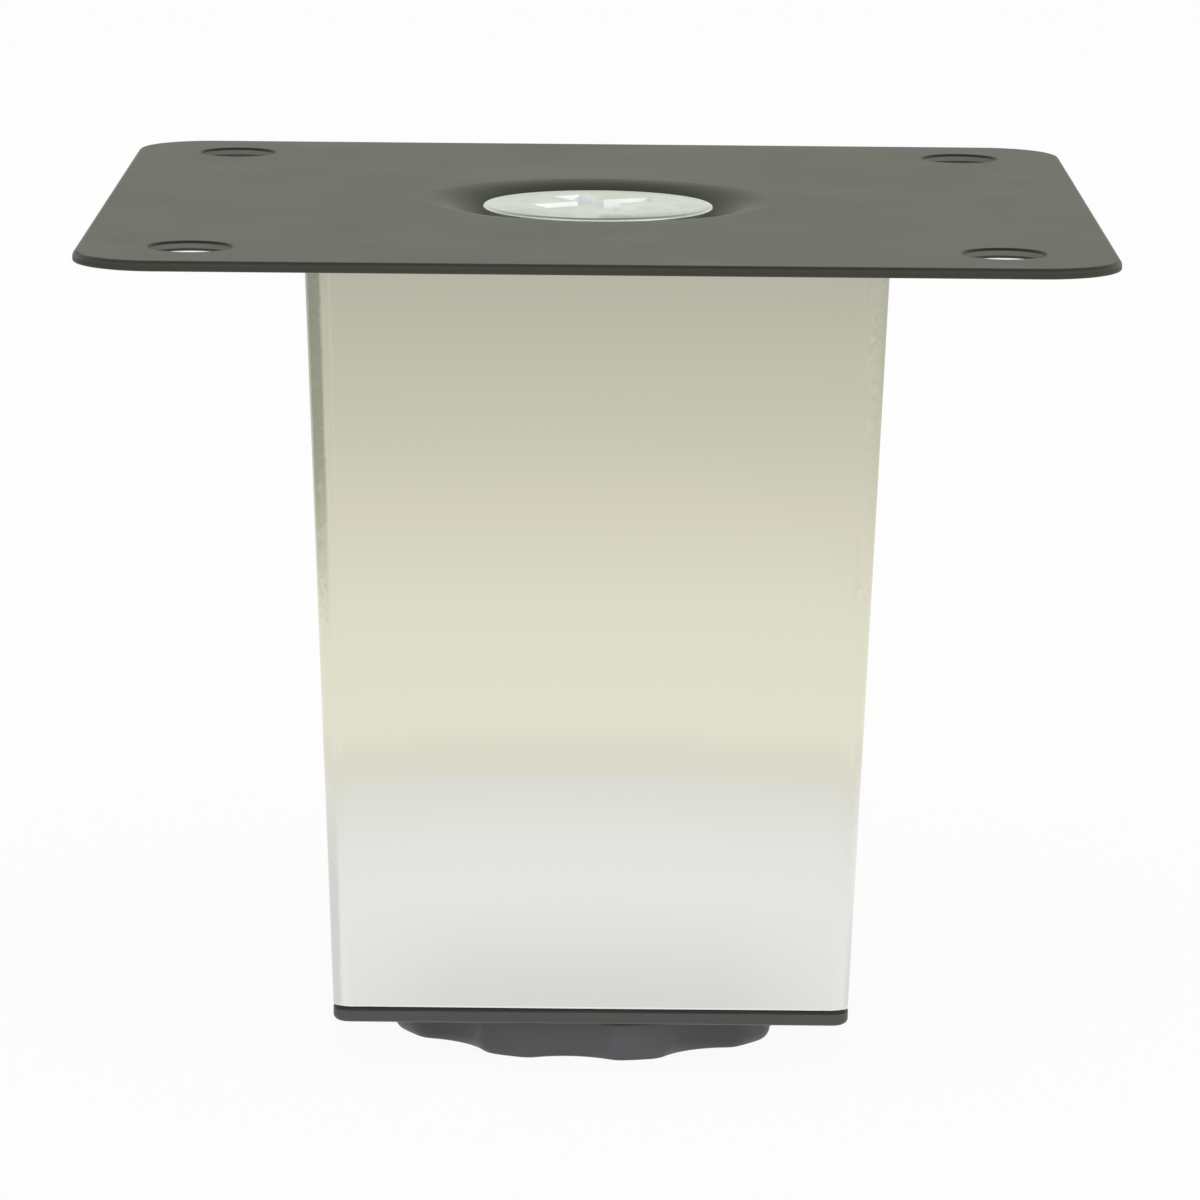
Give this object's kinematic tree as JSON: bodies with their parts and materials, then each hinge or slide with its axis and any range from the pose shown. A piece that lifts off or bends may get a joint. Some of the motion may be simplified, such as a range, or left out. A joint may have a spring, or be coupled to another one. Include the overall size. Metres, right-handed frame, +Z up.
{
  "type": "square metal sofa leg",
  "caption": "Tapered square steel sofa leg with a flat screw-on plate on top and a lobed levelling foot in its plastic end cap.",
  "frame": {"origin": "on the floor, under the centre of the foot's sole", "axes": "+Z up to the mounting plate, +X and +Y along the plate's sides, the picture's side is -Y"},
  "size_m": [0.1, 0.1, 0.085],
  "materials": {
    "plate_paint": "satin black coat",
    "bolt_zinc": "bright zinc plate",
    "tube_chrome": "polished chrome plate",
    "bridge_steel": "bare pressed steel",
    "nut_zinc": "zinc plate",
    "stud_zinc": "zinc plate",
    "cap_plastic": "fine moulded grain",
    "knob_plastic": "fine moulded grain"
  },
  "bodies": {
    "leg": {"top_plate": "plate_paint", "clamp_bolt": "bolt_zinc", "square_tube": "tube_chrome", "tube_bridge": "bridge_steel", "weld_nut": "nut_zinc", "end_cap": "cap_plastic", "cap_nut": "nut_zinc"},
    "stud": {"adjuster_stud": "stud_zinc"},
    "knob": {"foot_knob": "knob_plastic"}
  },
  "joints": [
    {"name": "foot_travel", "type": "slide", "parent": "leg", "child": "stud", "axis": [0, 0, -1], "range_m": [-0.00076, 0.01201]},
    {"name": "knob_turn", "type": "hinge", "parent": "stud", "child": "knob", "pos_m": [0, 0, 0], "axis": [0, 0, -1], "range_deg": [-180, 2880]}
  ],
  "couplings": [
    {"joint": "foot_travel", "follows": "knob_turn", "m_per_rad": 0.00023873}
  ]
}
